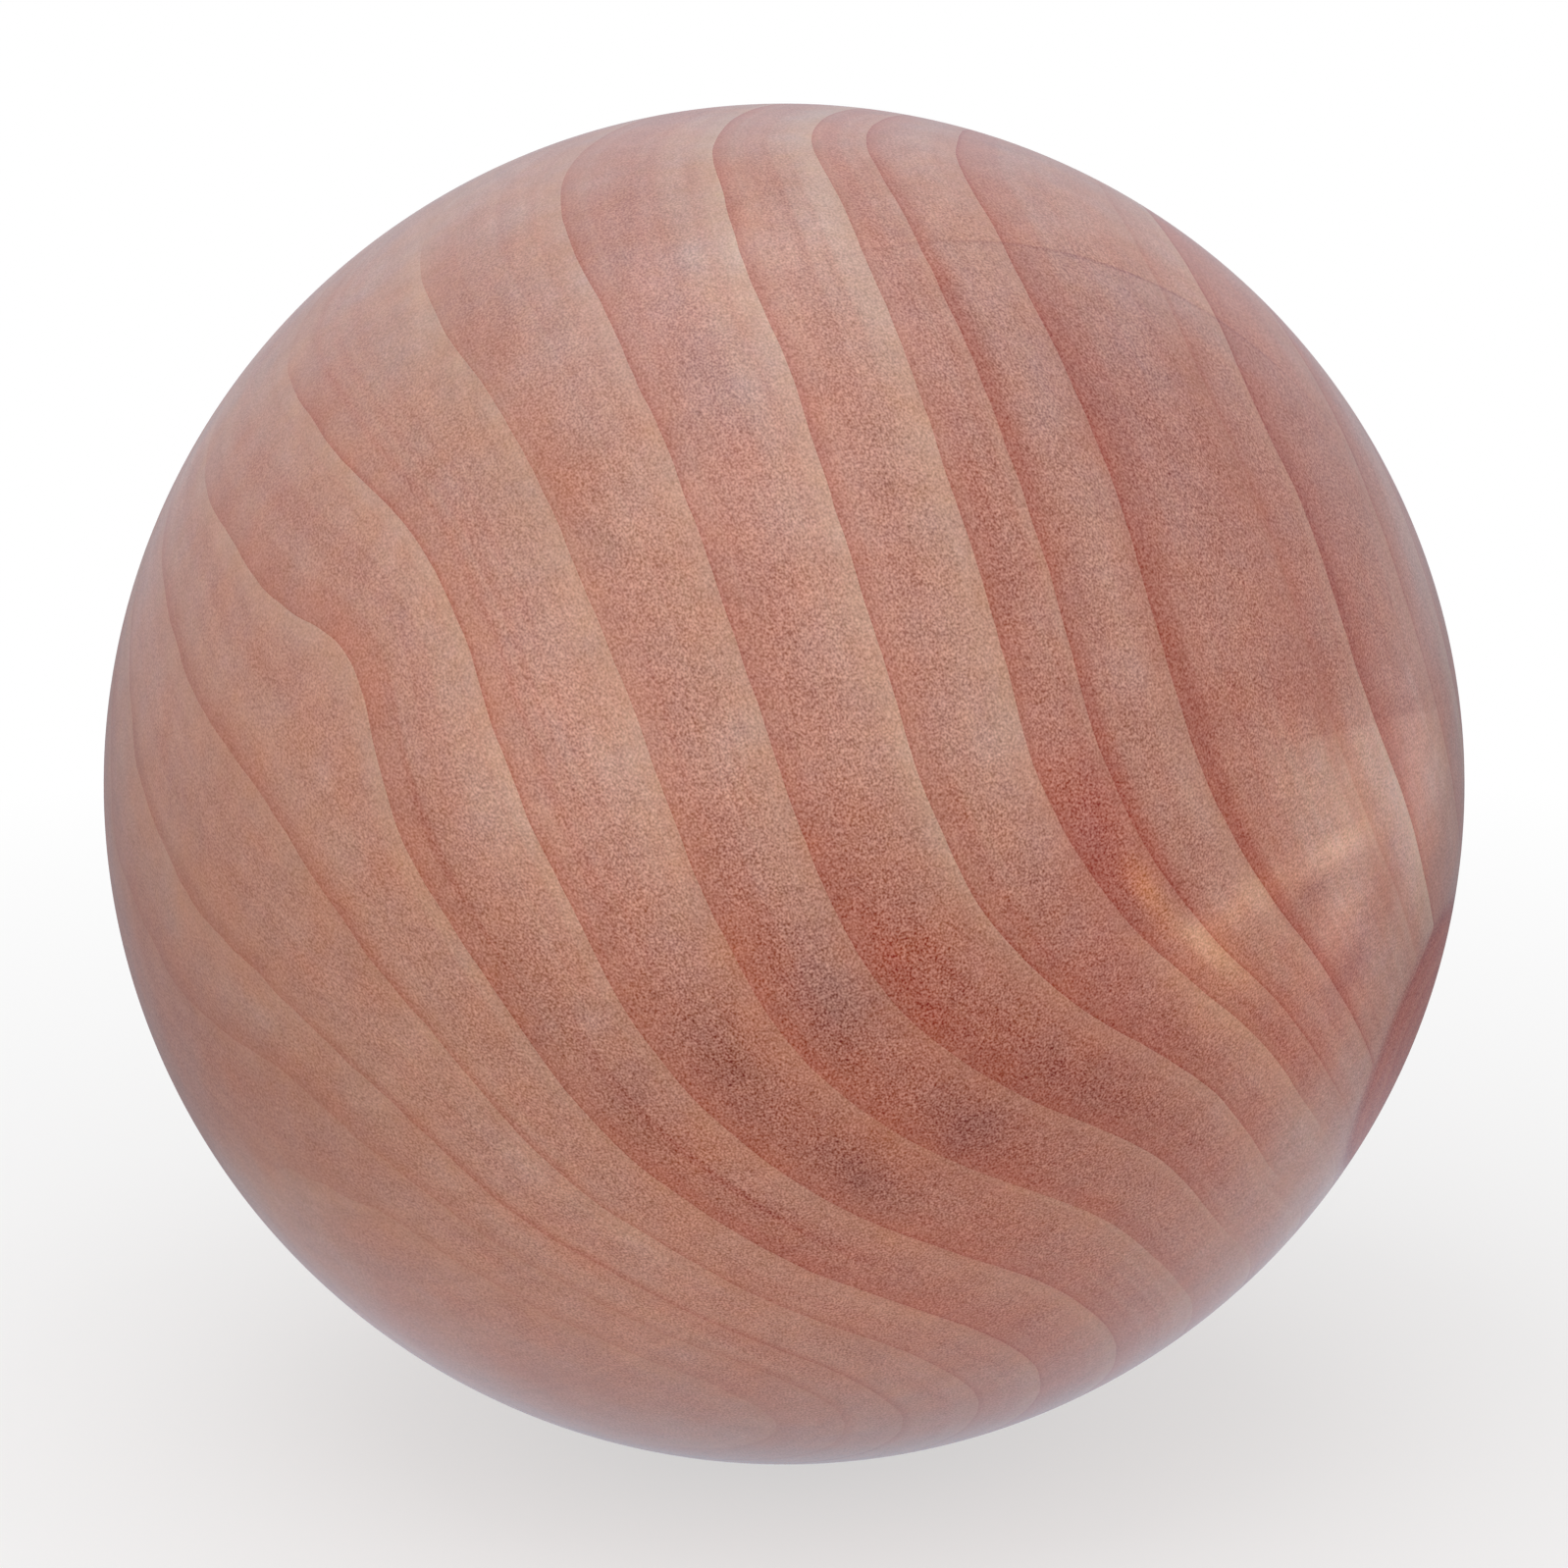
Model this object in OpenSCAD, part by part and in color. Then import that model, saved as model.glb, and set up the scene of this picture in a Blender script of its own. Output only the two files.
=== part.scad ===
// A plain wooden ball, turned from one piece of wood and sanded smooth.
// It is modelled in millimetres with +Z up, and its origin is the ball's centre.

/* [Ball] */
// Diameter of the finished ball
ball_d = 50; // [20:0.5:100]

/* [Hidden] */

// Steps round the ball in a preview
$fn = 180;

// Reddish fruitwood with a satin finish
wood = [0.71, 0.52, 0.44];

// The whole ball: one true sphere, with no bore, flat or seam
module ball() {
    color(wood)
        sphere(d = ball_d);
}

ball();
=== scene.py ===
# %% [markdown]
# # A wooden ball in Blender
# The real thing is one piece of reddish fruitwood, turned to a ball, sanded and waxed. Its shape
# is as plain as a shape can be, so the whole of its character is in the wood: the growth rings
# that run over it, the fine pores, the darker patches and the soft sheen of the wax.
# This lesson makes the ball as a fine mesh, and then builds the wood as a solid: the rings are
# worked out in three dimensions, as they stood in the tree, and the ball only cuts through them.

# %% Load the frame
import math
import bpy
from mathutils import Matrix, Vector


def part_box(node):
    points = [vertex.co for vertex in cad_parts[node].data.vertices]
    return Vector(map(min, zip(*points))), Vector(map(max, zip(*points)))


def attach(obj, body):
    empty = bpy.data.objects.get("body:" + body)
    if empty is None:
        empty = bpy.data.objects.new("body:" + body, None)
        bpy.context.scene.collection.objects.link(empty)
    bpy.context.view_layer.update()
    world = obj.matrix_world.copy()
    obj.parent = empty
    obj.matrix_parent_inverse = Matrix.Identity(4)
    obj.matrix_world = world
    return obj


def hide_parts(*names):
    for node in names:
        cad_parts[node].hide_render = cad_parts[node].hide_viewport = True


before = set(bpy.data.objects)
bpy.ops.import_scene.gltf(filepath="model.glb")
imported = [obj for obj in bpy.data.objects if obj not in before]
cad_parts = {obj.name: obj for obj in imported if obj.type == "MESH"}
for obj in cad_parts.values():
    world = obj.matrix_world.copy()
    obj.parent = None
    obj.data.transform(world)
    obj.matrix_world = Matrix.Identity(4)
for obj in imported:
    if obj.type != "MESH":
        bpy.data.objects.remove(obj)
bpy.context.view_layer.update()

MM_PER_METRE = 1000
low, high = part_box("ball")
centre = [(a + b) / 2 for a, b in zip(low, high)]
radius = min(b - a for a, b in zip(low, high)) / 2
print("ball radius in mm:", round(radius * MM_PER_METRE, 3))

# %% [markdown]
# ## The ball
# A turner roughs a square blank down to a round one, and a mesh can go the same way. A cube is cut
# into a fine grid on each side, and every point is then drawn out to one distance from the middle.
# A ball made of rings and segments would crowd its points at two poles, and the pinch would show
# in the sheen. The six-sided grid has no poles, and no face is wider than half a millimetre. Blender
# makes at most a hundred cuts at once, which is fine enough here.

# %% Turn the ball from a cube
BLANK_CUTS = 100


def turned_ball(name, radius):
    bpy.ops.object.select_all(action="DESELECT")
    bpy.ops.mesh.primitive_cube_add(size=2 * radius, location=centre)
    piece = bpy.context.object
    piece.name = name
    bpy.ops.object.mode_set(mode="EDIT")
    bpy.ops.mesh.select_all(action="SELECT")
    bpy.ops.mesh.subdivide(number_cuts=BLANK_CUTS)
    bpy.ops.object.mode_set(mode="OBJECT")
    turning = piece.modifiers.new("turning", "CAST")
    turning.cast_type = "SPHERE"
    turning.factor = 1.0
    turning.use_radius_as_size = False
    turning.size = radius
    bpy.ops.object.modifier_apply(modifier=turning.name)
    bpy.ops.object.transform_apply(location=True, rotation=True, scale=True)
    bpy.ops.object.shade_smooth()
    return piece


ball = turned_ball("turned_ball", radius)
reach = [vertex.co.length for vertex in ball.data.vertices]
print("faces:", len(ball.data.polygons), "nearest and farthest point in mm:",
      round(min(reach) * MM_PER_METRE, 3), round(max(reach) * MM_PER_METRE, 3))

# %% [markdown]
# ## Small tools for the wood
# A material is a tree of nodes. These few helpers add a node, join two sockets and do a sum, so
# that the steps below read as sums. A socket may be given a number or another node's output.

# %% Helpers for node trees
def feed(tree, socket, value):
    """Gives a socket a plain value, or joins it to another node's output."""
    if isinstance(value, bpy.types.NodeSocket):
        tree.links.new(value, socket)
    else:
        socket.default_value = value


def add_node(tree, kind, values=(), **settings):
    made = tree.nodes.new(kind)
    for setting, value in settings.items():
        setattr(made, setting, value)
    for key, value in dict(values).items():
        feed(tree, made.inputs[key], value)
    return made


def sum_of(tree, operation, *values, clamp=False):
    made = add_node(tree, "ShaderNodeMath", dict(enumerate(values)),
                    operation=operation, use_clamp=clamp)
    return made.outputs[0]


def vector_sum(tree, operation, *values):
    made = add_node(tree, "ShaderNodeVectorMath", dict(enumerate(values)), operation=operation)
    return made.outputs["Value" if operation in ("DOT_PRODUCT", "LENGTH", "DISTANCE") else "Vector"]


def blend_colour(tree, share, first, second, way="MIX"):
    """A Mix node's sockets for colours are inputs 6 and 7 and output 2."""
    made = add_node(tree, "ShaderNodeMix", data_type="RGBA", blend_type=way)
    feed(tree, made.inputs[0], share)
    feed(tree, made.inputs[6], first)
    feed(tree, made.inputs[7], second)
    return made.outputs[2]


def group_of(name, inputs, outputs):
    """A shader node group with named sockets; each input is (name, kind, value)."""
    tree = bpy.data.node_groups.new(name, "ShaderNodeTree")
    for label, kind, value in inputs:
        socket = tree.interface.new_socket(name=label, in_out="INPUT",
                                           socket_type="NodeSocket" + kind)
        if value is not None:
            socket.default_value = value
    for label, kind in outputs:
        tree.interface.new_socket(name=label, in_out="OUTPUT", socket_type="NodeSocket" + kind)
    return tree, tree.nodes.new("NodeGroupInput").outputs, tree.nodes.new("NodeGroupOutput").inputs


def use_group(tree, group, **values):
    made = tree.nodes.new("ShaderNodeGroup")
    made.node_tree = group
    for label, value in values.items():
        feed(tree, made.inputs[label], value)
    return made.outputs


# %% [markdown]
# ## A soft spot
# Wood is full of places where something happens and then fades: a swelling in the rings, a stain,
# a bright curl. Each of them is a soft spot: a mask that is 1 at its middle and fades to nothing.
# It fades by one share for each square millimetre of distance, which is a bell curve. A round spot
# counts distance alike all ways. A long spot also counts the distance beside its length, stretched
# by the Flatten vector, so it fades sooner to the sides. A turned and scaled copy of the position
# would do the same, but a long list of them makes a material too heavy, and one sum each is light.

# %% Build the soft spot groups
def faded_by(tree, reach):
    """What one square millimetre of distance leaves of a spot that reaches so far."""
    square = sum_of(tree, "MULTIPLY", reach, reach)
    return sum_of(tree, "EXPONENT", sum_of(tree, "DIVIDE", -1.0, square))


def build_round_spot():
    tree, given, out = group_of(
        "Round spot",
        [("Position", "Vector", None), ("Place", "Vector", (0, 0, 0)), ("Reach", "Float", 1.0)],
        [("Mask", "Float")],
    )
    away = vector_sum(tree, "DISTANCE", given["Position"], given["Place"])
    square = sum_of(tree, "MULTIPLY", away, away)
    tree.links.new(sum_of(tree, "POWER", faded_by(tree, given["Reach"]), square), out["Mask"])
    return tree


def build_long_spot():
    tree, given, out = group_of(
        "Long spot",
        [("Position", "Vector", None), ("Place", "Vector", (0, 0, 0)), ("Flatten", "Vector", (0, 0, 0)),
         ("Reach", "Float", 1.0)],
        [("Mask", "Float")],
    )
    local = vector_sum(tree, "SUBTRACT", given["Position"], given["Place"])
    beside = vector_sum(tree, "DOT_PRODUCT", local, given["Flatten"])
    square = sum_of(tree, "MULTIPLY_ADD", beside, beside, vector_sum(tree, "DOT_PRODUCT", local, local))
    tree.links.new(sum_of(tree, "POWER", faded_by(tree, given["Reach"]), square), out["Mask"])
    return tree


round_spot = build_round_spot()
long_spot = build_long_spot()
print("spot groups:", len(round_spot.nodes), "and", len(long_spot.nodes), "nodes")

# %% [markdown]
# ## The tree that the ball came from
# Growth rings are layers round the pith, so how far a point lies from the pith says in which year
# it grew. A straight trunk would give plain stripes. This wood came from where a branch bends:
# the pith curves past the ball, and here and there the layers swell or sink a little. So the age
# of the wood at a point is its distance from a curved pith, pushed in or out by soft spots.
# All lengths here are millimetres. The face of the ball is turned a little upwards, so x is to
# the right of the face, y goes into the ball and z is up the face.

# %% Work out the age of the wood
FACE_TILT = math.radians(15)
TRUNK_TURN = [math.radians(angle) for angle in (37, 21, 4)]
BALL_RADIUS = round(radius * MM_PER_METRE, 1)
PITH_AWAY = 38.0
PITH_BEND = (17.0, 1.0)
PITH_SWAY = (2.0, 22.0)

# Where the rings swell: a place on the face, how far the swelling reaches and how far it pushes.
# Each was chosen one by one: see where a ring runs wide of its course, and push it back there.
SWELLINGS = [
    ((5, -23, -8), 12, -4.6),
    ((2, -24, 6), 9, -1.8),
    ((-10, 0, 23), 12, -5.5),
    ((-11, -10, 19), 9, -2.2),
    ((-19, -6, 13), 7, -2.2),
    ((-14, -20, 5), 5, 1.2),
    ((-1, -19, 15), 9, -0.9),
    ((2, -9, 23), 5, -1.0),
    ((16, -12, -14), 5, -1.5),
    ((16, -14, 13), 4, -0.6),
    ((22, -11, 0), 4, 0.6),
]
WOBBLE = 0.5
WOBBLE_SCALE = 0.16
WOBBLE_DETAIL = 3.0
WOBBLE_ROUGHNESS = 0.45


def pith_offset(tree, along, near, bend):
    """near + bend[0] * along squared + bend[1] * along cubed"""
    square = sum_of(tree, "MULTIPLY", along, along)
    curve = sum_of(tree, "MULTIPLY_ADD", along, bend[1], bend[0])
    return sum_of(tree, "MULTIPLY_ADD", square, curve, near)


def noise_at(tree, place, scale, detail=2.0, roughness=0.5):
    """Smooth noise about 0, mostly between -0.3 and 0.3."""
    made = add_node(tree, "ShaderNodeTexNoise",
                    {"Vector": place, "Scale": scale, "Detail": detail, "Roughness": roughness})
    return sum_of(tree, "SUBTRACT", made.outputs[0], 0.5)


def build_wood_age():
    tree, given, out = group_of("Age of the wood", [("Position", "Vector", None)],
                                [("Age", "Float"), ("Round", "Float"), ("Trunk", "Vector")])
    place = given["Position"]
    trunk = add_node(tree, "ShaderNodeMapping", {"Vector": place, "Rotation": TRUNK_TURN}).outputs[0]
    across, deep, along_mm = add_node(tree, "ShaderNodeSeparateXYZ", {0: trunk}).outputs
    along = sum_of(tree, "DIVIDE", along_mm, BALL_RADIUS)
    from_pith = sum_of(tree, "SUBTRACT", across, pith_offset(tree, along, PITH_AWAY, PITH_BEND))
    beside_pith = sum_of(tree, "SUBTRACT", deep, pith_offset(tree, along, 0.0, PITH_SWAY))
    pith = add_node(tree, "ShaderNodeCombineXYZ", {0: from_pith, 1: beside_pith})
    age = vector_sum(tree, "LENGTH", pith.outputs[0])
    for spot, spread, push in SWELLINGS:
        mask = use_group(tree, round_spot, Position=place, Place=spot, Reach=spread)["Mask"]
        age = sum_of(tree, "MULTIPLY_ADD", mask, push, age)
    wobble = noise_at(tree, place, WOBBLE_SCALE, WOBBLE_DETAIL, WOBBLE_ROUGHNESS)
    tree.links.new(sum_of(tree, "MULTIPLY_ADD", wobble, WOBBLE, age), out["Age"])
    angle = sum_of(tree, "ARCTAN2", beside_pith, sum_of(tree, "MULTIPLY", from_pith, -1.0))
    tree.links.new(sum_of(tree, "MULTIPLY", angle, PITH_AWAY), out["Round"])
    tree.links.new(trunk, out["Trunk"])
    return tree


wood_age = build_wood_age()
print("age group:", len(wood_age.nodes), "nodes and", len(SWELLINGS), "swellings")

# %% [markdown]
# ## The years
# Each year the tree lays down pale wood in spring and darker wood in late summer, and stops with a
# thin dark line. No two years are alike, so each has its own width, its own tone where it
# begins and where it ends, and its own way from one to the other. The years are listed from the
# pith out. A tone of 0 is the palest wood and 1 the deepest. A colour ramp turns the age into
# the number of the year: 3.4 means four tenths of the way through year 3.

# %% List the years
FIRST_RING = 10.0
# width in mm, tone at the start, tone at the end, how late the tone changes, strength of the line
YEARS = [
    (3.4, 0.35, 0.80, 0.8, 0.8),
    (4.2, 0.35, 0.80, 0.7, 0.9),
    (3.6, 0.30, 0.80, 0.8, 0.9),
    (5.4, 0.50, 0.90, 1.5, 1.0),
    (2.3, 0.15, 0.62, 1.2, 0.2),
    (6.0, 0.50, 1.00, 4.0, 1.0),
    (2.7, 0.48, 0.95, 4.0, 0.9),
    (1.7, 0.52, 0.74, 1.0, 0.6),
    (3.2, 0.14, 0.82, 1.1, 0.5),
    (4.1, 0.00, 0.86, 0.5, 0.6),
    (4.0, 0.30, 0.78, 0.7, 0.3),
    (4.3, 0.26, 0.78, 0.6, 0.7),
    (3.2, 0.33, 0.82, 0.8, 0.8),
    (1.9, 0.40, 0.64, 0.4, 0.8),
    (1.7, 0.43, 0.58, 0.8, 0.9),
    (0.9, 0.45, 0.57, 0.8, 0.5),
    (0.8, 0.47, 0.57, 0.8, 0.4),
    (0.9, 0.48, 0.57, 0.8, 0.4),
    (9.0, 0.50, 0.60, 0.8, 0.4),
]
LINE_WIDTH = 0.2
# a ramp's colours hold 0 to 1, so how late and how wide a year is go in as shares of these
LATEST = 4.0
WIDEST = 10.0
rings_end = FIRST_RING + sum(year[0] for year in YEARS)
print("years:", len(YEARS), "from", FIRST_RING, "to", round(rings_end, 1), "mm from the pith")


def ramp_of(tree, share, stops, step=False):
    """A colour ramp with (place, colour) stops; with step it jumps from stop to stop."""
    made = add_node(tree, "ShaderNodeValToRGB", {0: share})
    made.color_ramp.interpolation = "CONSTANT" if step else "LINEAR"
    marks = made.color_ramp.elements
    while len(marks) < len(stops):
        marks.new(0.5)
    for mark, (place, colour) in zip(marks, stops):
        mark.position = place
        mark.color = (*colour, 1.0)
    return add_node(tree, "ShaderNodeSeparateColor", {0: made.outputs["Color"]}).outputs


def build_years():
    tree, given, out = group_of("Years", [("Age", "Float", 30.0)],
                                [("Tone", "Float"), ("Line", "Float"), ("Middle", "Float")])
    count = len(YEARS)
    total = rings_end - FIRST_RING
    share = sum_of(tree, "DIVIDE", sum_of(tree, "SUBTRACT", given["Age"], FIRST_RING), total)
    edges = [0.0]
    for year in YEARS:
        edges.append(edges[-1] + year[0] / total)
    number = ramp_of(tree, share, [(edge, (k / count,) * 3) for k, edge in enumerate(edges)])[0]
    number = sum_of(tree, "MULTIPLY", number, count)
    phase = sum_of(tree, "FRACT", number)
    middle = sum_of(tree, "DIVIDE", sum_of(tree, "ADD", sum_of(tree, "FLOOR", number), 0.5), count)
    tones = ramp_of(tree, middle, [(k / count, (start, end, late / LATEST))
                                   for k, (_, start, end, late, _) in enumerate(YEARS)], step=True)
    facts = ramp_of(tree, middle, [(k / count, (width / WIDEST, line, 0))
                                   for k, (width, _, _, _, line) in enumerate(YEARS)], step=True)
    bend = sum_of(tree, "POWER", phase, sum_of(tree, "MULTIPLY", tones[2], LATEST))
    rise = sum_of(tree, "SUBTRACT", tones[1], tones[0])
    tree.links.new(sum_of(tree, "MULTIPLY_ADD", bend, rise, tones[0]), out["Tone"])
    to_edge = sum_of(tree, "MULTIPLY", sum_of(tree, "SUBTRACT", 1.0, phase), facts[0])
    near = sum_of(tree, "MULTIPLY_ADD", to_edge, -WIDEST / LINE_WIDTH, 1.0, clamp=True)
    tree.links.new(sum_of(tree, "MULTIPLY", near, facts[1]), out["Line"])
    # phase times what is left of the year is at most a quarter, so four times that is 1 half way
    left = sum_of(tree, "SUBTRACT", 1.0, phase)
    tree.links.new(sum_of(tree, "MULTIPLY", sum_of(tree, "MULTIPLY", phase, left), 4.0), out["Middle"])
    return tree


years = build_years()
print("years group:", len(years.nodes), "nodes")

# %% [markdown]
# ## Dark streaks within the years
# Some years hold a second thin dark line, where growth stopped for a dry spell and began again, and
# some end in a broader dark band on one side of the ball only. Both follow the rings, so each is
# an age with a half width, and a place on the face round which it shows. The two distances are
# squared and added before the fading, so that a streak thins out both ways at once.

# %% Lay the dark streaks
# age, half width, strength, the place (right, up) and how far it reaches, all lengths in mm
DARK_STREAKS = [
    (57.4, 0.16, 1.2, (-12, -3), 8),
    (57.1, 0.22, 1.3, (-7, -10), 7),
    (57.5, 0.60, 0.6, (-9, -6), 10),
    (56.6, 0.16, 0.9, (-3, -14), 8),
    (40.9, 0.14, 0.7, (1, 20), 9),
    (40.3, 0.16, 0.5, (1, 20), 9),
    (38.1, 0.16, 0.6, (6, 14), 8),
    (37.3, 0.35, 0.7, (7, 14), 9),
    (34.5, 0.40, 0.9, (12, 8), 14),
    (29.2, 0.30, 0.6, (17, 11), 6),
    (26.3, 0.28, 1.0, (20, 7), 9),
]
# how far the camera will stand from the middle of the ball, in mm
VIEW_AWAY = 241.0


def on_face(across, up):
    """The point of the ball that shows so far right of and above its middle, seen from VIEW_AWAY.
    What is nearer shows larger, so the point itself lies a little closer to the middle."""
    deep = math.sqrt(BALL_RADIUS ** 2 - across ** 2 - up ** 2)
    share = (VIEW_AWAY - deep) / VIEW_AWAY
    across, up = across * share, up * share
    return (across, -math.sqrt(BALL_RADIUS ** 2 - across ** 2 - up ** 2), up)


def build_streaks():
    tree, given, out = group_of("Dark streaks", [("Age", "Float", 30.0), ("Position", "Vector", None)],
                                [("Amount", "Float")])
    amount = 0.0
    for when, half_width, strength, (across, up), reach in DARK_STREAKS:
        apart = sum_of(tree, "MULTIPLY_ADD", given["Age"], 1 / half_width, -when / half_width)
        apart = sum_of(tree, "MULTIPLY", apart, apart)
        away = vector_sum(tree, "DISTANCE", given["Position"], on_face(across, up))
        away = sum_of(tree, "MULTIPLY", away, 1 / reach)
        both = sum_of(tree, "MULTIPLY_ADD", away, away, apart)
        faded = sum_of(tree, "POWER", math.exp(-1), both)
        amount = sum_of(tree, "MULTIPLY_ADD", faded, strength, amount)
    tree.links.new(amount, out["Amount"])
    return tree


dark_streaks = build_streaks()
print("dark streaks:", len(DARK_STREAKS))

# %% [markdown]
# ## Stains and painted light
# A stain is a soft spot that tints the wood under it, and some of these spots paint light and shade
# into the colour instead. Some are broad: the wood is tan on the left, its paler lift there partly a
# painted soft highlight, and mauve on the right. A greyer, cooler wash over the top is painted sheen,
# lighter patches at the right rim are painted sheen, and a darker patch at the lower left rim is
# painted shade. Others are small: brown blotches, and the curl on the right, where the fibres turn
# towards the light: its redder tints are its own colour, and its bright and dark bands beside each
# other are painted sheen and painted shade.

# %% Build the group for stains and painted light
def build_stain_and_painted_light():
    tree, given, out = group_of(
        "Stain and painted light",
        [("Colour", "Color", None), ("Position", "Vector", None), ("Place", "Vector", (0, 0, 0)),
         ("Flatten", "Vector", (0, 0, 0)), ("Reach", "Float", 1.0), ("Tint", "Color", None)],
        [("Colour", "Color")],
    )
    mask = use_group(tree, long_spot, Position=given["Position"], Place=given["Place"],
                     Flatten=given["Flatten"], Reach=given["Reach"])["Mask"]
    tree.links.new(blend_colour(tree, mask, given["Colour"], given["Tint"], "MULTIPLY"), out["Colour"])
    return tree


stain_and_painted_light = build_stain_and_painted_light()

# place on the face (right, up), half length, half width, slope in degrees, tint
BROAD_STAINS_AND_PAINTED_LIGHT = [
    # painted sheen: greyer and cooler over the top
    ((0, 22), 22, 7, 0, (0.98, 1.08, 1.16)),
    ((2, -19), 20, 5, 0, (1.06, 0.97, 0.90)),
    # painted sheen: greyer at the upper left
    ((-14, 14), 12, 8, 45, (0.94, 1.03, 1.06)),
    ((-8, 13), 6, 4, -60, (0.95, 0.90, 0.85)),
    ((-4, 7.5), 8, 4, -65, (0.92, 0.88, 0.83)),
    # this spot and the next: paler on the left of the face, partly a painted soft highlight
    ((-12, -1), 9, 4, -60, (1.05, 1.15, 1.18)),
    ((-7, -0.5), 6, 4, -65, (1.06, 1.13, 1.16)),
    ((-15, -10), 14, 8, -50, (1.00, 1.00, 0.96)),
    ((5, -10.5), 11, 6, -30, (0.94, 0.70, 0.65)),
    ((2, -7.3), 4, 2.5, -40, (1.00, 1.08, 1.14)),
    ((6, 11), 9, 5, -70, (0.93, 0.88, 0.86)),
    ((9, 1.5), 3, 2.5, -60, (1.04, 1.12, 1.18)),
    ((12.5, 14), 4, 2.5, -65, (0.93, 0.86, 0.88)),
    ((18, 10), 9, 3.5, -65, (0.94, 0.80, 0.78)),
    ((13, -8.5), 4.5, 3, -40, (1.00, 0.84, 0.82)),
    # painted sheen: lighter at the right rim
    ((20, -2), 10, 5, 90, (1.15, 1.20, 1.24)),
    ((19, -9), 5, 3, 70, (1.08, 0.94, 0.90)),
    # painted sheen: lighter at the right rim
    ((22.5, 0), 6, 2.5, 90, (1.08, 1.12, 1.16)),
    ((-3, -9), 12, 6, -35, (1.02, 1.00, 0.98)),
    # paler on the left of the face, partly a painted soft highlight
    ((-10, -1), 15, 6, -65, (1.04, 1.07, 1.09)),
    ((17, 2), 14, 6, 90, (0.98, 0.93, 0.92)),
    ((-10.5, 7.5), 5, 3, -60, (1.01, 1.07, 1.11)),
    ((-12.9, -11.6), 3.5, 2, -45, (1.04, 1.09, 1.11)),
    ((-6.4, -16), 5, 2, -30, (1.03, 1.08, 1.10)),
    ((11, 8), 5, 3, -70, (1.00, 1.05, 1.11)),
    ((-2.1, -0.8), 4, 2.5, -60, (1.02, 1.06, 1.05)),
    # painted shade: darker at the lower left rim
    ((-21, -11), 8, 3, -60, (0.96, 0.92, 0.93)),
    ((16, 18.8), 5, 2.5, -40, (1.10, 1.00, 0.93)),
    ((17.4, 14.3), 4, 3, -65, (1.00, 0.90, 0.82)),
    ((4.4, 14.3), 4, 3, -65, (0.96, 0.91, 0.87)),
    ((13, -5), 4, 3, -50, (0.98, 0.89, 0.92)),
    # painted sheen: cooler towards the top
    ((-6, 17), 6, 4, -60, (0.99, 1.04, 1.14)),
    ((-9.5, -15), 5, 3, -40, (1.04, 1.07, 1.12)),
    # painted sheen: lighter at the right rim
    ((20.5, -7.5), 4, 2, -70, (1.12, 1.16, 1.22)),
    ((22.2, -3), 2.5, 1.5, 90, (0.94, 0.84, 0.84)),
    ((18.6, 3.6), 4, 1.5, 15, (0.95, 0.86, 0.84)),
    ((19.8, 6.2), 5, 1.5, -72, (0.95, 0.88, 0.86)),
]
BLOTCHES = [
    ((-2.2, -10.1), 2.2, 1.0, -48, (0.82, 0.82, 0.84)),
    ((2.0, -8.1), 2.2, 1.4, -45, (0.86, 0.90, 0.96)),
    ((2.8, -14.5), 2.2, 0.9, -38, (0.80, 0.80, 0.86)),
    ((6.9, -12.7), 1.8, 1.2, -30, (0.80, 0.78, 0.82)),
    ((10.4, -11.0), 2.5, 1.0, -20, (0.88, 0.84, 0.86)),
    ((-5.6, -10.9), 1.6, 1.0, -50, (0.92, 0.93, 0.98)),
    ((4.6, -6.5), 3.0, 1.2, -50, (1.00, 0.86, 0.80)),
    ((-2.4, 15.0), 2.5, 1.6, -40, (0.92, 0.96, 1.02)),
]
# The curl: its redder tints are the wood's own colour, and its bright and dark bands are painted sheen
# and painted shade, where the fibres turn to and from the light.
CURL_WITH_PAINTED_SHEEN_AND_SHADE = [
    ((11.1, -1.7), 3.8, 1.7, -68, (0.95, 0.74, 0.72)),
    ((11.8, -1.3), 2.2, 1.0, -70, (0.97, 0.82, 0.82)),
    ((13.4, -4.0), 1.6, 0.45, -56, (1.28, 1.34, 1.00)),
    ((15.8, -6.2), 2.2, 0.55, -42, (1.34, 1.62, 1.50)),
    ((15.2, -7.4), 2.8, 1.2, -38, (1.14, 1.15, 1.04)),
    ((16.6, -4.5), 2.2, 0.7, 32, (1.30, 1.46, 1.42)),
    ((20.4, -2.3), 2.4, 0.5, 25, (1.26, 1.38, 1.36)),
    ((19.5, -3.9), 1.0, 0.4, 30, (0.84, 0.80, 0.84)),
    ((20.4, -4.8), 1.4, 0.5, 50, (1.16, 1.22, 1.22)),
    ((20.7, -6.9), 1.8, 0.6, 60, (0.86, 0.82, 0.90)),
    ((23.2, -1.0), 3.5, 0.9, 90, (1.16, 1.26, 1.32)),
]


# Tints the colour with each spot in turn: stains, with painted sheen, highlight and shade among them.
def add_stains_and_painted_light(tree, colour, place, stains_and_painted_light):
    for (across, up), length, width, slope, tint in stains_and_painted_light:
        squeeze = math.sqrt((length / width) ** 2 - 1)
        slope = math.radians(slope)
        flatten = (-squeeze * math.sin(slope), 0, squeeze * math.cos(slope))
        colour = use_group(tree, stain_and_painted_light, Colour=colour, Position=place, Place=on_face(across, up),
                           Flatten=flatten, Reach=length, Tint=(*tint, 1))["Colour"]
    return colour


print("stains:", len(BROAD_STAINS_AND_PAINTED_LIGHT), "broad ones,", len(BLOTCHES), "blotches and", len(CURL_WITH_PAINTED_SHEEN_AND_SHADE),
      "in the curl")

# %% [markdown]
# ## Soft and sharp edges
# Three more tools: a tint that follows a noise, a thin line, and a step with a soft edge.

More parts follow.
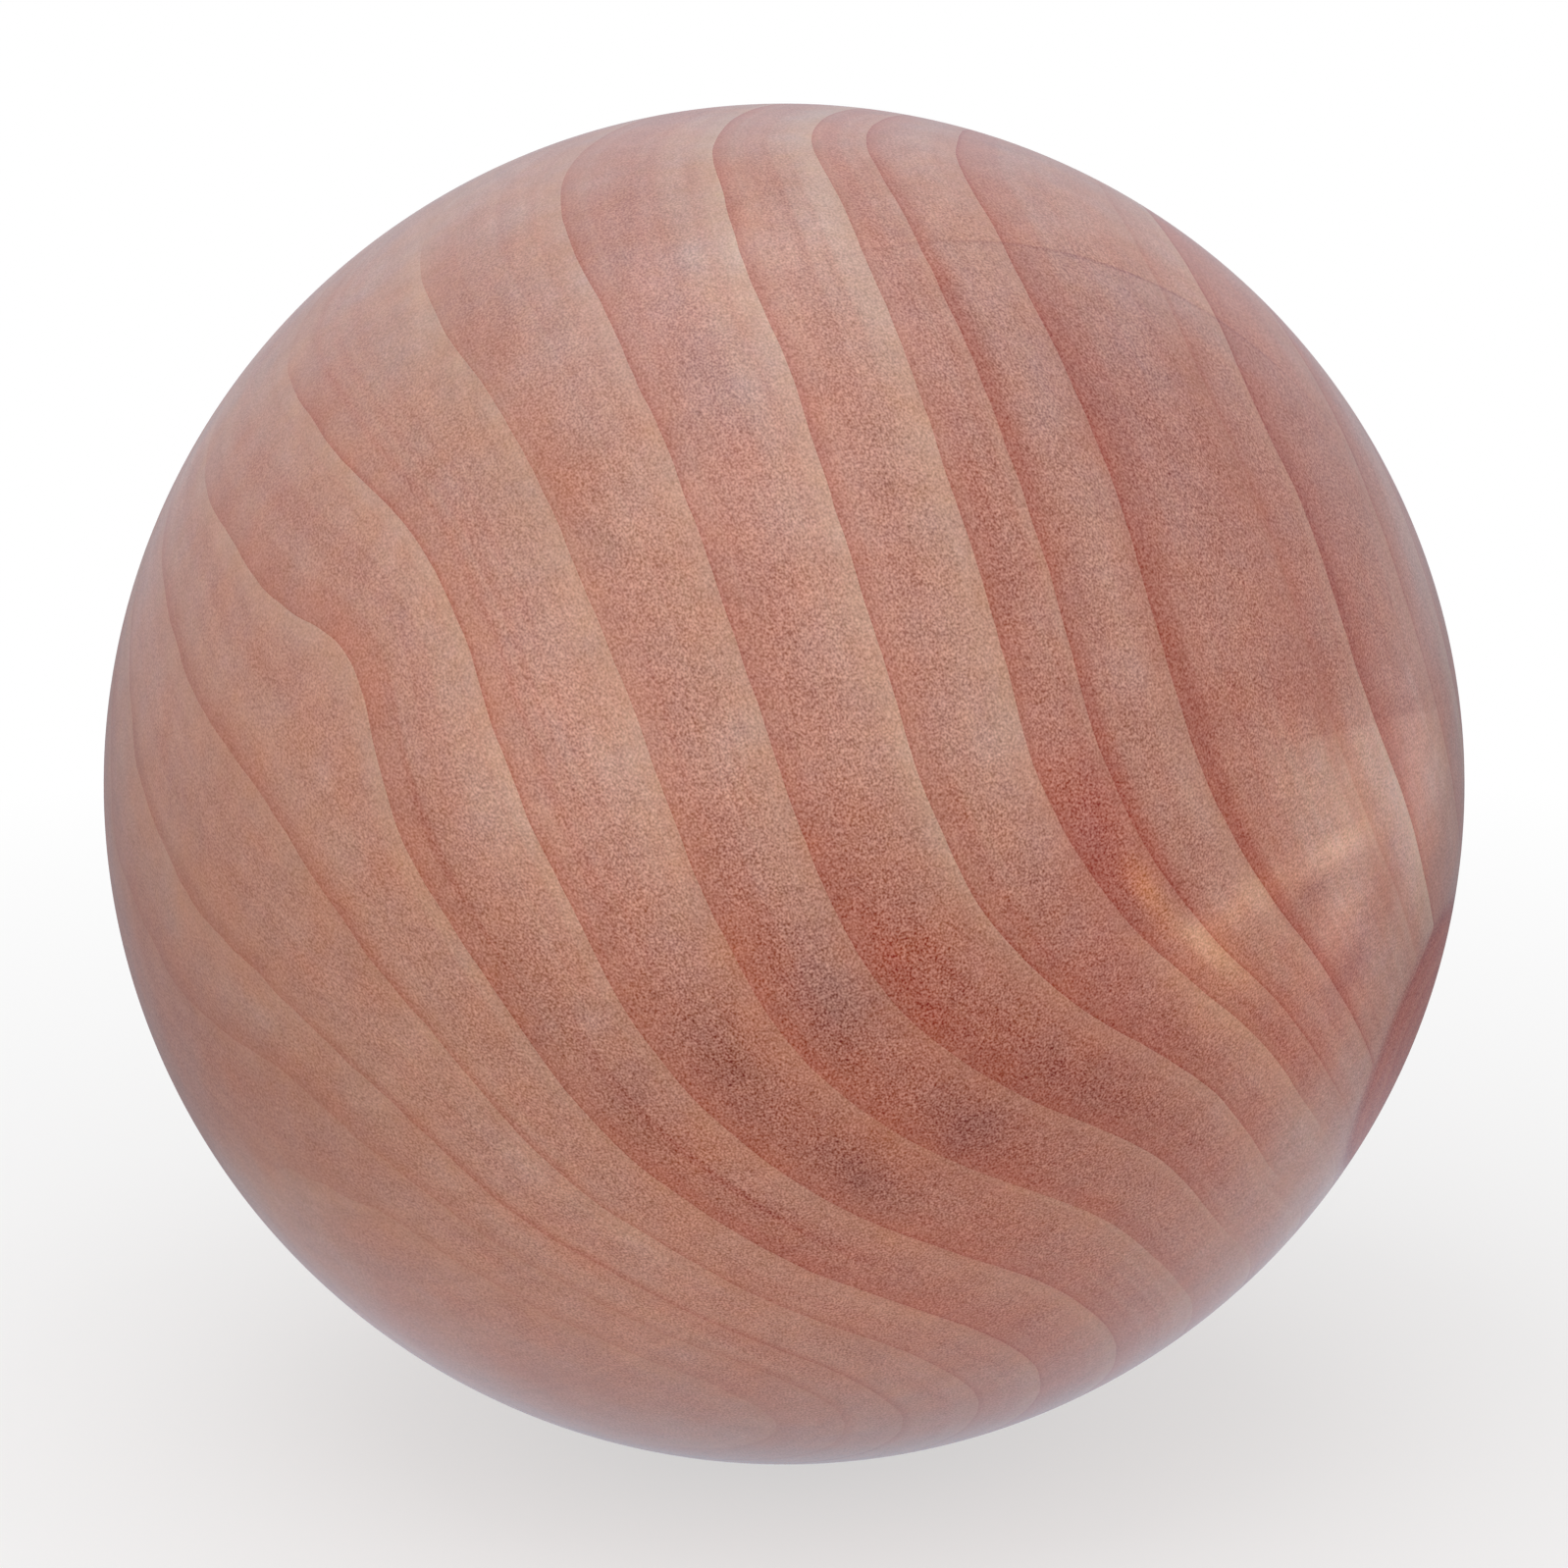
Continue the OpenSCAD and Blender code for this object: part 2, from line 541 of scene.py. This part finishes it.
# %% Helpers for tints and edges
def tint_by(tree, colour, amount, push):
    """Adds push times amount to the colour, amount being noise about 0, as a share of the colour."""
    factor = vector_sum(tree, "MULTIPLY_ADD", amount, push, (1, 1, 1))
    return vector_sum(tree, "MULTIPLY", colour, factor)


def thin_line(tree, apart, half_width):
    """1 where apart is 0, fading to nothing at about half_width to either side."""
    share = sum_of(tree, "DIVIDE", apart, half_width)
    square = sum_of(tree, "MULTIPLY", share, share)
    return sum_of(tree, "EXPONENT", sum_of(tree, "MULTIPLY", square, -1.0))


def past(tree, value, start, full):
    """0 up to start, 1 from full on, and smooth between them."""
    return add_node(tree, "ShaderNodeMapRange", {"Value": value, "From Min": start, "From Max": full},
                    interpolation_type="SMOOTHSTEP").outputs[0]


# %% [markdown]
# ## The knot and the faded rings
# On the right a small branch once grew out of the wood, and the ball cuts through it. A knot has
# rings of its own, round the branch, so within the knot the age is counted from the branch's own
# heart. A flat cut across the ball bounds it, which gives a round knot with a crisp edge.
# Near the rim, at the upper left and on both sides of the foot, the ball's surface runs almost
# along the rings, so they blur into each other. Round spots even out the tones there and take the
# lines away.

# %% Grow the knot and fade the rings
KNOT_AXIS = (0.9125, -0.171, -0.372)
KNOT_CUT = 24.48
KNOT_EDGE = 0.1
KNOT_YEARS = 3.0
KNOT_FIRST_AGE = 9.0
FADED_TONE = 0.4
# a place on the face and how far the fading reaches, in mm
FADED_RINGS = [
    ((-12, -5, 21), 6),
    ((-20, -5, 14.5), 4),
    ((-23.5, -3, 9.5), 3),
    ((-18.6, -8, -14.2), 3.5),
    ((18.2, -9.5, -14.2), 4.5),
    ((-12.5, -7.0, 20.5), 3.5),
    ((-19.0, -7.5, 14.4), 3.5),
]


def grow_knot(tree, face, age, inside):
    heart = vector_sum(tree, "PROJECT", face, KNOT_AXIS)
    from_heart = vector_sum(tree, "DISTANCE", face, heart)
    knot_age = sum_of(tree, "MULTIPLY_ADD", from_heart, KNOT_YEARS, KNOT_FIRST_AGE)
    return sum_of(tree, "MULTIPLY_ADD", inside, sum_of(tree, "SUBTRACT", knot_age, age), age)


def fade_rings(tree, face, tone, line):
    for spot, spread in FADED_RINGS:
        mask = use_group(tree, round_spot, Position=face, Place=spot, Reach=spread)["Mask"]
        even = sum_of(tree, "MULTIPLY", sum_of(tree, "SUBTRACT", FADED_TONE, tone), mask)
        tone = sum_of(tree, "ADD", tone, even)
        line = sum_of(tree, "MULTIPLY", line, sum_of(tree, "SUBTRACT", 1.0, mask))
    return tone, line


# %% [markdown]
# ## The colour of the rings
# The tone of each year mixes pale spring wood with deep late wood. Fine grain along the rings and
# broad patches vary it, and the dark streaks within the years break up where the grain does. The
# middle of a year is a touch cooler than its ends. Then three clouds of noise go over all of it:
# one makes the wood warmer here and cooler there, a fine one mottles it, and one lifts and sinks
# its brightness.

# %% Colour the rings
PALEST = (0.562, 0.323, 0.221)
DEEPEST = (0.440, 0.134, 0.081)
LINE_TINT = (0.86, 0.70, 0.66)
MIDDLE_TINT = (0.98, 1.00, 1.06)
GRAIN_STRETCH = (1.6, 0.06, 0.0)
GRAIN_ROUGHNESS = 0.6
GRAIN_DEPTH = 0.6
PATCH_SCALE = 0.25
PATCH_DEPTH = 0.25
STREAK_BREAKS = 2.0
STREAK_KEPT = 0.8
# scale, detail, roughness, push on red, green and blue
CLOUDS = [
    (0.45, 1.0, 0.50, (0.05, -0.25, -0.50)),
    (1.30, 3.0, 0.65, (0.02, 0.00, -0.26)),
    (0.75, 2.0, 0.60, (0.26, 0.30, 0.30)),
]


def colour_rings(tree, face, layers, tone, line, middle, bands):
    stretched = vector_sum(tree, "MULTIPLY", layers, GRAIN_STRETCH)
    grain = noise_at(tree, stretched, 1.0, roughness=GRAIN_ROUGHNESS)
    patches = noise_at(tree, face, PATCH_SCALE)
    tone = sum_of(tree, "MULTIPLY_ADD", grain, GRAIN_DEPTH, tone)
    tone = sum_of(tree, "MULTIPLY_ADD", patches, PATCH_DEPTH, tone)
    colour = blend_colour(tree, tone, (*PALEST, 1), (*DEEPEST, 1))
    broken = sum_of(tree, "MULTIPLY_ADD", grain, STREAK_BREAKS, STREAK_KEPT)
    dark = sum_of(tree, "ADD", line, sum_of(tree, "MULTIPLY", bands, broken))
    colour = blend_colour(tree, dark, colour, (*LINE_TINT, 1), "MULTIPLY")
    colour = blend_colour(tree, middle, colour, (*MIDDLE_TINT, 1), "MULTIPLY")
    for scale, detail, roughness, push in CLOUDS:
        colour = tint_by(tree, colour, noise_at(tree, face, scale, detail, roughness), push)
    return colour


# %% [markdown]
# ## Marks on the face
# Below a sharp edge on the right the fibres turn towards the light, and a painted sheen makes the wood
# there bright.
# The knot is redder than the wood round it, with a dark seam at its rim. At the top right the
# lathe tool left a fine scored line, and the wood below it is a little scuffed. All three edges
# are flat cuts through the ball, so each is a direction and a distance from the middle in mm.

# %% Mark the face
EDGE_AXIS = (0.233, 0.0, -0.972)
EDGE_CUT = 2.74
EDGE_SOFT = 0.2
# painted sheen where the fibres catch the light: place on the face (right, up), reach, tint
PAINTED_SHEEN_SPOTS = [
    ((20.5, -1), 4, (1.12, 1.28, 1.32)),
    ((23.3, 0.5), 3.5, (1.22, 1.38, 1.44)),
]
KNOT_TINT = (0.93, 0.52, 0.44)
SEAM_TINT = (0.84, 0.62, 0.58)
SEAM_WIDTH = 0.09
TURNING_AXIS = (0.406, -0.913, -0.038)
TURNING_CUT = 15.76
SCORE_TINT = (0.74, 0.62, 0.66)
SCORE_WIDTH = 0.07
SCUFF_TINT = (0.92, 0.98, 1.07)
SCUFF_SOFT = 0.1
SCUFF_PLACE = (13.5, 16.5)
SCUFF_REACH = 9


# Paints sheen into the colour below the edge, where the fibres catch the light.
def painted_sheen_below_edge(tree, face, colour):
    edge = vector_sum(tree, "DOT_PRODUCT", face, EDGE_AXIS)
    below = past(tree, edge, EDGE_CUT - EDGE_SOFT, EDGE_CUT + EDGE_SOFT)
    for (across, up), size, tint in PAINTED_SHEEN_SPOTS:
        painted_sheen = use_group(tree, round_spot, Position=face, Place=on_face(across, up),
                           Reach=size)["Mask"]
        painted_sheen = sum_of(tree, "MULTIPLY", painted_sheen, below)
        colour = blend_colour(tree, painted_sheen, colour, (*tint, 1), "MULTIPLY")
    return colour


def colour_knot(tree, knot, inside, colour):
    colour = blend_colour(tree, inside, colour, (*KNOT_TINT, 1), "MULTIPLY")
    seam = thin_line(tree, sum_of(tree, "SUBTRACT", knot, KNOT_CUT), SEAM_WIDTH)
    return blend_colour(tree, seam, colour, (*SEAM_TINT, 1), "MULTIPLY")


def mark_turning(tree, face, turning, colour):
    corner = use_group(tree, round_spot, Position=face, Place=on_face(*SCUFF_PLACE),
                       Reach=SCUFF_REACH)["Mask"]
    below = past(tree, turning, TURNING_CUT - SCUFF_SOFT, TURNING_CUT + SCUFF_SOFT)
    scuff = sum_of(tree, "MULTIPLY", corner, below)
    colour = blend_colour(tree, scuff, colour, (*SCUFF_TINT, 1), "MULTIPLY")
    line = thin_line(tree, sum_of(tree, "SUBTRACT", turning, TURNING_CUT), SCORE_WIDTH)
    score = sum_of(tree, "MULTIPLY", line, corner)
    return blend_colour(tree, score, colour, (*SCORE_TINT, 1), "MULTIPLY")


# %% [markdown]
# ## Rays, pores and painted glints
# Rays are thin plates of cells that run from the pith outwards, and they show as faint short
# streaks across the rings. Pores are the cut ends of the vessels: fine specks, both lighter and
# darker than the wood, and the lighter specks are partly painted glints. They show most towards
# the two ends of the axis that the ball was turned on, in the middle of each year and on the lower
# face, so their strength follows all three.

# %% Open the pores and paint their glints
RAY_STRETCH = (0.3, 3.2, 0.0)
RAY_PUSH = (0.16, 0.2, 0.2)
PORE_STRETCH = (13.5, 13.5, 10.5)
# added times a noise about 0: the darker specks are the pores, the lighter ones partly painted glints
PORE_AND_GLINT_COLOUR = (0.52, 0.33, 0.27)
PORES_FROM = 5.0
PORES_FULL = 23.0
PORES_LEAST = 0.5
MIDDLE_PORES = 0.45
EDGE_PORES = 0.7
LOW_FACE = (-4, -10)
LOW_FACE_REACH = 13
LOW_FACE_PORES = 0.22


def add_rays(tree, layers, colour):
    rays = noise_at(tree, vector_sum(tree, "MULTIPLY", layers, RAY_STRETCH), 1.0, detail=1.0)
    return tint_by(tree, colour, rays, RAY_PUSH)


# Adds the pores as fine specks; the lighter ones are partly painted glints.
def add_pores_and_painted_glints(tree, face, trunk, turning, middle, colour):
    from_waist = sum_of(tree, "ABSOLUTE", turning)
    coarse = add_node(tree, "ShaderNodeMapRange",
                      {"Value": from_waist, "From Min": PORES_FROM, "From Max": PORES_FULL,
                       "To Min": PORES_LEAST, "To Max": 1.0}).outputs[0]
    in_year = sum_of(tree, "MULTIPLY_ADD", middle, MIDDLE_PORES, EDGE_PORES)
    coarse = sum_of(tree, "MULTIPLY", coarse, in_year)
    pores_and_glints = noise_at(tree, vector_sum(tree, "MULTIPLY", trunk, PORE_STRETCH), 1.0, detail=0.0)
    low_face = use_group(tree, round_spot, Position=face, Place=on_face(*LOW_FACE),
                         Reach=LOW_FACE_REACH)["Mask"]
    coarse = sum_of(tree, "MULTIPLY_ADD", low_face, LOW_FACE_PORES, coarse)
    pores_and_glints = sum_of(tree, "MULTIPLY", pores_and_glints, coarse)
    return vector_sum(tree, "MULTIPLY_ADD", pores_and_glints, PORE_AND_GLINT_COLOUR, colour)


# %% [markdown]
# ## The wood
# Now the steps come together in one material. It works in millimetres on the turned-up face. The
# wax lies over the wood as a thin coat with a soft sheen, and the knot takes less of it, because
# its end grain soaks the wax up.

# %% Mix the wood
ROUGHNESS = 0.5
SPECULAR = 0.25
COAT = 0.55
COAT_SOAKED_UP = 0.22
COAT_ROUGHNESS = 0.22


def build_wood():
    material = bpy.data.materials.new("wood")
    material.use_nodes = True
    tree = material.node_tree
    shader = tree.nodes["Principled BSDF"]
    place = add_node(tree, "ShaderNodeTexCoord").outputs["Object"]
    face = add_node(tree, "ShaderNodeMapping", {"Vector": place, "Rotation": (FACE_TILT, 0, 0),
                                                "Scale": (MM_PER_METRE,) * 3}).outputs[0]
    age, round_mm, trunk = use_group(tree, wood_age, Position=face).values()
    knot = vector_sum(tree, "DOT_PRODUCT", face, KNOT_AXIS)
    inside = past(tree, knot, KNOT_CUT - KNOT_EDGE, KNOT_CUT + KNOT_EDGE)
    age = grow_knot(tree, face, age, inside)
    tone, line, middle = use_group(tree, years, Age=age).values()
    tone, line = fade_rings(tree, face, tone, line)
    bands = use_group(tree, dark_streaks, Age=age, Position=face)["Amount"]
    layers = add_node(tree, "ShaderNodeCombineXYZ", {0: age, 1: round_mm}).outputs[0]

    colour = colour_rings(tree, face, layers, tone, line, middle, bands)
    # stains, with painted sheen, painted highlight and painted shade among them
    colour = add_stains_and_painted_light(tree, colour, face, BROAD_STAINS_AND_PAINTED_LIGHT + BLOTCHES + CURL_WITH_PAINTED_SHEEN_AND_SHADE)
    # painted sheen below the edge on the right
    colour = painted_sheen_below_edge(tree, face, colour)
    colour = colour_knot(tree, knot, inside, colour)
    coat = sum_of(tree, "MULTIPLY_ADD", inside, -COAT_SOAKED_UP, COAT)
    turning = vector_sum(tree, "DOT_PRODUCT", face, TURNING_AXIS)
    colour = mark_turning(tree, face, turning, colour)
    colour = add_rays(tree, layers, colour)
    # pores, their lighter specks partly painted glints
    colour = add_pores_and_painted_glints(tree, face, trunk, turning, middle, colour)

    tree.links.new(colour, shader.inputs["Base Color"])
    tree.links.new(coat, shader.inputs["Coat Weight"])
    shader.inputs["Roughness"].default_value = ROUGHNESS
    shader.inputs["Specular IOR Level"].default_value = SPECULAR
    shader.inputs["Coat Roughness"].default_value = COAT_ROUGHNESS
    return material


wood = build_wood()
ball.data.materials.append(wood)
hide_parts("ball")
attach(ball, "root")
print("wood:", len(wood.node_tree.nodes), "nodes")

# %% [markdown]
# ## The floor
# The ball lies on a plain pale floor. A real white table would do, but it would come out grey away
# from the lamps. So the paint is mixed with a glow of its own, less near the ball, where it keeps
# a soft shadow. What the waxed ball mirrors is a cooler white: bright right at the ball, dim beside
# it and brighter again farther off.

# %% Lay the floor
FLOOR_SIZE = 4.0
FLOOR_COLOUR = 0.8
COOL_WHITE = (0.74, 0.85, 1.0, 1.0)
DIM_WHITE = 0.42
FAR_WHITE = 0.8
# distances on the floor in metres, where a change starts and where it ends
SHADOW_FADES = (0.03, 0.10)
GLOW_DIMS = (0.025, 0.045)
GLOW_RETURNS = (0.15, 0.4)
DIM_MIDDLE = (0.008, 0, 0)
GLOW_IN_SHADOW = 0.6


def ray_kinds(tree):
    """1 for rays from the camera, and 1 for rays that left a shiny or a clear surface."""
    rays = add_node(tree, "ShaderNodeLightPath").outputs
    shiny = sum_of(tree, "MAXIMUM", rays["Is Glossy Ray"], rays["Is Transmission Ray"])
    return rays["Is Camera Ray"], shiny


def fade(tree, value, start, end, first, last):
    """first up to start, last from end on, and an even slope between them."""
    return add_node(tree, "ShaderNodeMapRange", {"Value": value, "From Min": start, "From Max": end,
                                                "To Min": first, "To Max": last}).outputs[0]


def build_floor():
    bpy.ops.object.select_all(action="DESELECT")
    bpy.ops.mesh.primitive_plane_add(size=FLOOR_SIZE, location=(0, 0, low[2]))
    floor = bpy.context.object
    floor.name = "floor"
    material = bpy.data.materials.new("floor")
    material.use_nodes = True
    tree = material.node_tree
    tree.nodes.clear()
    paint = add_node(tree, "ShaderNodeBsdfDiffuse", {"Color": (FLOOR_COLOUR,) * 3 + (1,)})
    camera, shiny = ray_kinds(tree)
    place = add_node(tree, "ShaderNodeTexCoord").outputs["Object"]
    away = vector_sum(tree, "LENGTH", place)
    beside = vector_sum(tree, "DISTANCE", place, DIM_MIDDLE)
    share = sum_of(tree, "MULTIPLY", camera, fade(tree, away, *SHADOW_FADES, GLOW_IN_SHADOW, 1.0))
    share = sum_of(tree, "MAXIMUM", share, shiny)
    tint = blend_colour(tree, shiny, (1, 1, 1, 1), COOL_WHITE)
    near = fade(tree, beside, *GLOW_DIMS, 1.0, DIM_WHITE)
    far = fade(tree, away, *GLOW_RETURNS, DIM_WHITE, FAR_WHITE)
    dim = sum_of(tree, "MAXIMUM", near, far)
    strength = sum_of(tree, "MULTIPLY_ADD", shiny, sum_of(tree, "SUBTRACT", dim, 1.0), 1.0)
    glow = add_node(tree, "ShaderNodeEmission", {"Color": tint, "Strength": strength})
    mixed = add_node(tree, "ShaderNodeMixShader", {0: share, 1: paint.outputs[0], 2: glow.outputs[0]})
    add_node(tree, "ShaderNodeOutputMaterial", {"Surface": mixed.outputs[0]})
    floor.data.materials.append(material)
    return floor


floor = build_floor()
print("floor at", round(low[2] * MM_PER_METRE, 2), "mm")

# %% [markdown]
# ## The room and the lamps
# The room is plain white, and in the mirror of the wax its wall brightens as it rises. A wide soft
# lamp hangs over the ball, and a weaker one stands above the camera, so that the ball is bright on
# top and its shadow is soft.

# %% Light the room
ROOM_LIGHT = 0.47
WALL_FOOT = 0.65
WALL_RISES = (0.0, 0.35)
# name, place in metres, size in metres, watts
LAMPS = [
    ("overhead_softbox", (-0.05, -0.03, 0.58), 0.6, 1.5),
    ("front_softbox", (-0.06, -0.44, 0.36), 0.6, 1.2),
]


def build_room():
    world = bpy.data.worlds.new("room")
    bpy.context.scene.world = world
    world.use_nodes = True
    tree = world.node_tree
    camera, shiny = ray_kinds(tree)
    way = add_node(tree, "ShaderNodeTexCoord").outputs["Generated"]
    height = add_node(tree, "ShaderNodeSeparateXYZ", {0: way}).outputs[2]
    wall = fade(tree, height, *WALL_RISES, WALL_FOOT, 1.0)
    strength = sum_of(tree, "MULTIPLY_ADD", camera, 1.0 - ROOM_LIGHT, ROOM_LIGHT)
    strength = sum_of(tree, "MULTIPLY_ADD", shiny, sum_of(tree, "SUBTRACT", wall, ROOM_LIGHT), strength)
    tint = blend_colour(tree, shiny, (1, 1, 1, 1), COOL_WHITE)
    feed(tree, tree.nodes["Background"].inputs["Color"], tint)
    feed(tree, tree.nodes["Background"].inputs["Strength"], strength)


def soft_lamp(name, place, size, watts):
    lamp = bpy.data.lights.new(name, "AREA")
    lamp.shape = "SQUARE"
    lamp.size = size
    lamp.energy = watts
    holder = bpy.data.objects.new(name, lamp)
    holder.location = place
    holder.rotation_euler = (Vector(centre) - Vector(place)).to_track_quat("-Z", "Y").to_euler()
    bpy.context.scene.collection.objects.link(holder)


build_room()
for name, place, size, watts in LAMPS:
    soft_lamp(name, place, size, watts)
print("lamps:", len(LAMPS))

# %% [markdown]
# ## The camera
# A long lens, level with the turned-up face, shows the ball almost without perspective. It stands
# just so far away that the ball's rim fills its share of the view's width.

# %% Place the camera
LENS = 150.0
SENSOR = 36.0
FILL = 0.868


def place_camera():
    camera = bpy.data.cameras.new("camera")
    camera.lens = LENS
    camera.sensor_width = SENSOR
    rim_angle = math.atan(FILL * SENSOR / 2 / LENS)
    away = radius / math.sin(rim_angle)
    holder = bpy.data.objects.new("camera", camera)
    holder.location = (0, -away * math.cos(FACE_TILT), away * math.sin(FACE_TILT))
    holder.rotation_euler = (math.pi / 2 - FACE_TILT, 0, 0)
    bpy.context.scene.collection.objects.link(holder)
    bpy.context.scene.camera = holder
    print("camera distance in mm:", round(away * MM_PER_METRE))


place_camera()
bpy.context.scene.view_settings.view_transform = "Standard"
